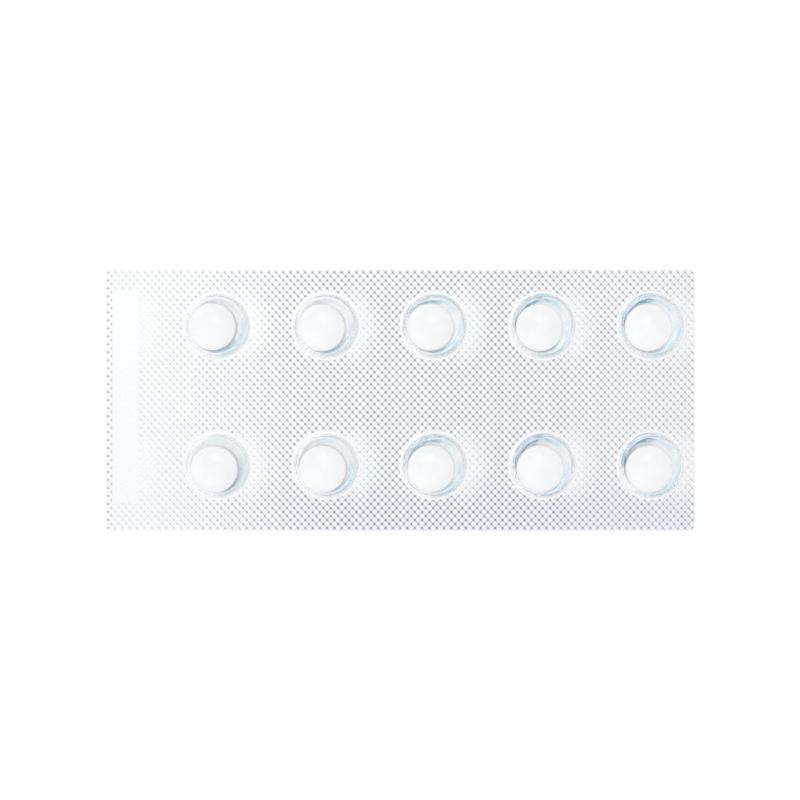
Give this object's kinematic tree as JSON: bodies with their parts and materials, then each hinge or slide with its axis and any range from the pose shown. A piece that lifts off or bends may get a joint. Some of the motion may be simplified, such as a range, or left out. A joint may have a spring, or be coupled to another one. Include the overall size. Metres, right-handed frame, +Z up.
{
  "type": "pill blister pack",
  "caption": "Sealed pill blister pack: clear formed film with rows of round pockets, each holding a white round tablet, on a flat aluminium lidding foil.",
  "frame": {"origin": "centre of the pack's outline, on the underside of the lidding foil", "axes": "+X along the pack's long side, away from the end with the plain code patch; +Y across the pack, from the second row of pockets to the first; +Z up through the pockets"},
  "size_m": [0.095, 0.042, 0.0044],
  "materials": {
    "film": "clear, glossy thermoformed film",
    "foil": "bright foil, embossed all over with a fine diamond seal pattern",
    "tablet": "smooth, matte white pressed tablet"
  },
  "bodies": {
    "root": {"blister_film": "film", "lidding_foil": "foil", "tablet_row1_column1": "tablet", "tablet_row1_column2": "tablet", "tablet_row1_column3": "tablet", "tablet_row1_column4": "tablet", "tablet_row1_column5": "tablet", "tablet_row2_column1": "tablet", "tablet_row2_column2": "tablet", "tablet_row2_column3": "tablet", "tablet_row2_column4": "tablet", "tablet_row2_column5": "tablet"}
  },
  "joints": []
}
